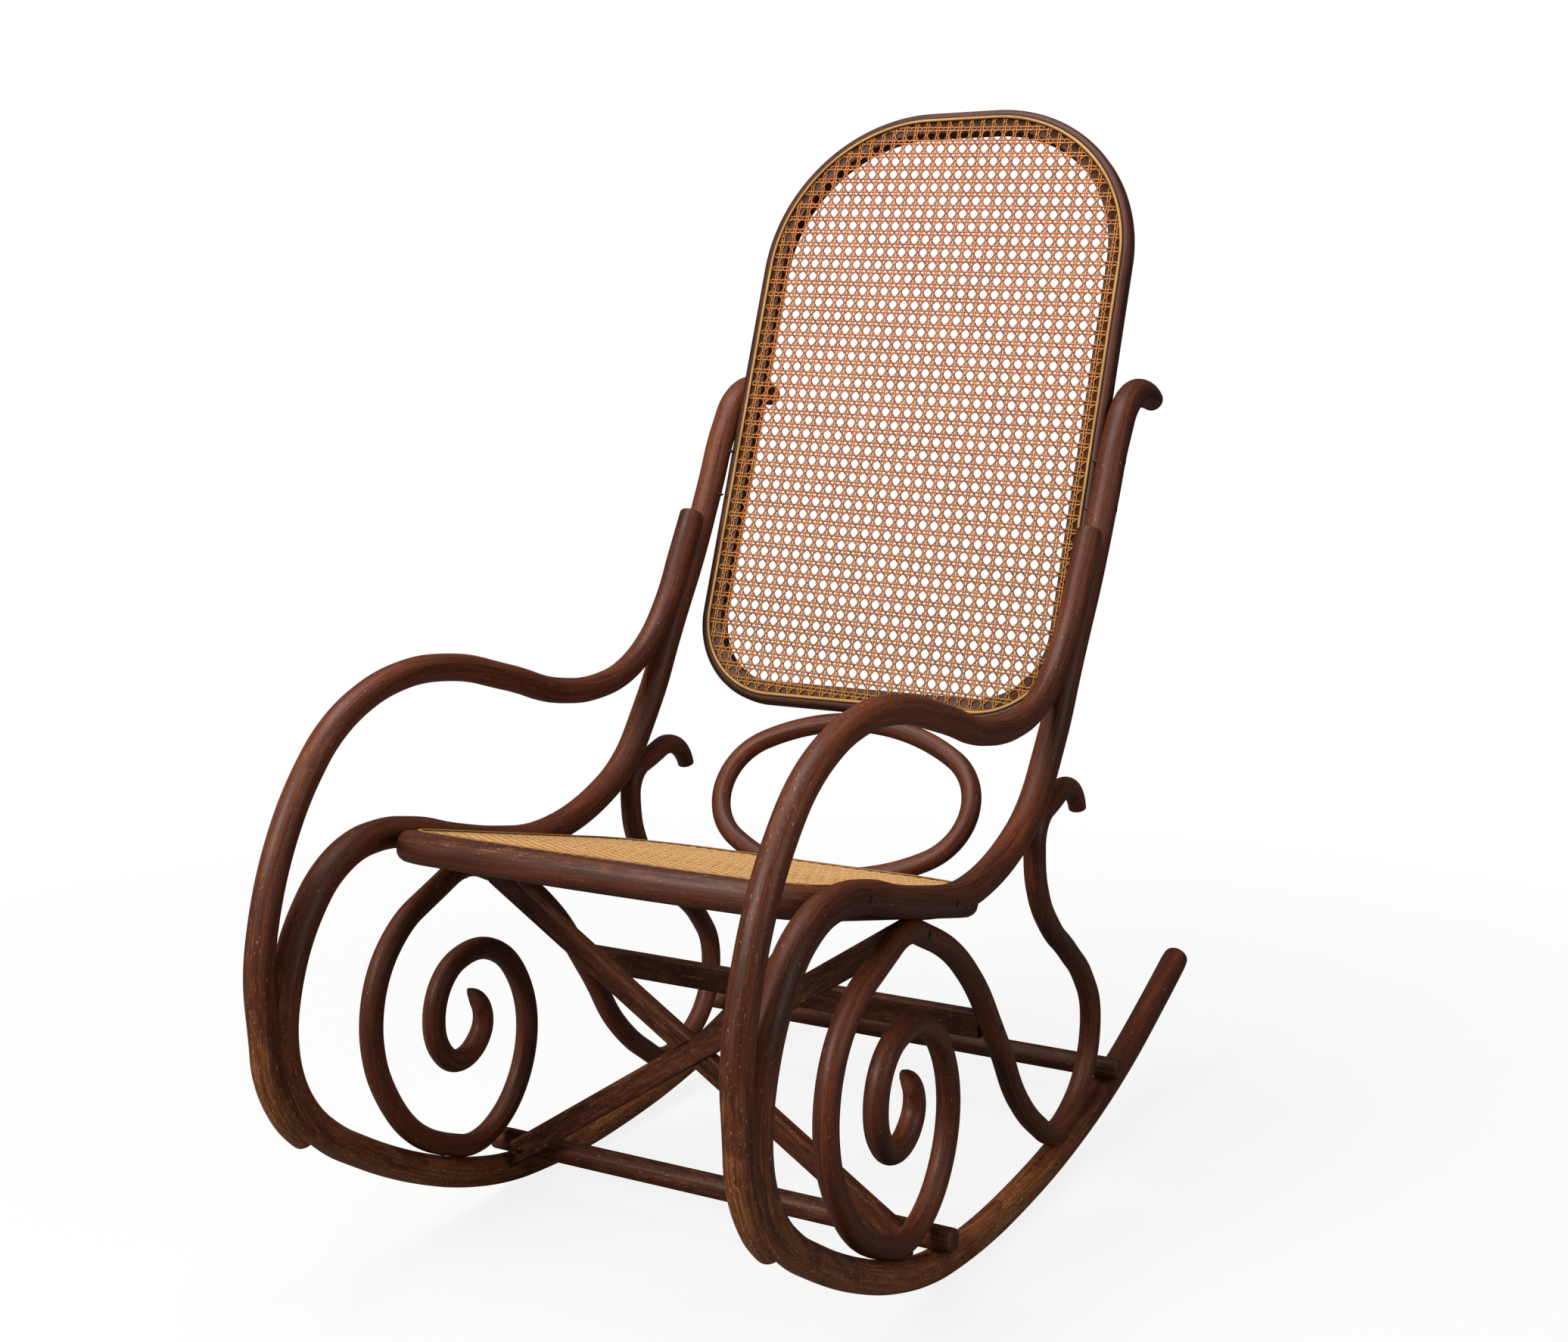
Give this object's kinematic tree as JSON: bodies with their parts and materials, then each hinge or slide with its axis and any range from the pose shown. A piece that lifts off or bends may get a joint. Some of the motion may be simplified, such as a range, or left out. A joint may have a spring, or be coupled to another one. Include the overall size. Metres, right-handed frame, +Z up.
{
  "type": "bentwood rocking chair",
  "caption": "Bentwood rocking chair with scrolled side frames, bent arms and runners, a caned seat and a tall caned back joined by an oval; it rocks on its curved runners.",
  "frame": {"origin": "on the floor, under the middle of the chair's box", "axes": "+Z up, -Y towards the front, +X the sitter's left"},
  "size_m": [0.486, 0.9862, 1.0494],
  "materials": {
    "stained_beech": "dark red-brown stain and shellac, worn lighter on the arms and front curves",
    "woven_cane": "natural woven cane, matt",
    "cane_strip": "natural cane, slightly glossy",
    "screw_steel": "darkened steel"
  },
  "bodies": {
    "root": {"side_rail_left": "stained_beech", "side_rail_right": "stained_beech", "runner_left": "stained_beech", "runner_right": "stained_beech", "arm_left": "stained_beech", "arm_right": "stained_beech", "scroll_left": "stained_beech", "scroll_right": "stained_beech", "seat_ring": "stained_beech", "back_ring": "stained_beech", "back_oval": "stained_beech", "brace_left": "stained_beech", "brace_right": "stained_beech", "front_stretcher": "stained_beech", "rear_stretcher": "stained_beech", "upper_stretcher": "stained_beech", "seat_cane": "woven_cane", "back_cane": "woven_cane", "seat_binder": "cane_strip", "back_binder": "cane_strip", "seat_screws": "screw_steel", "back_screws": "screw_steel", "arm_screws": "screw_steel", "scroll_screws": "screw_steel", "stretcher_screws": "screw_steel", "brace_screws": "screw_steel", "oval_screws": "screw_steel", "runner_screws": "screw_steel"}
  },
  "joints": []
}
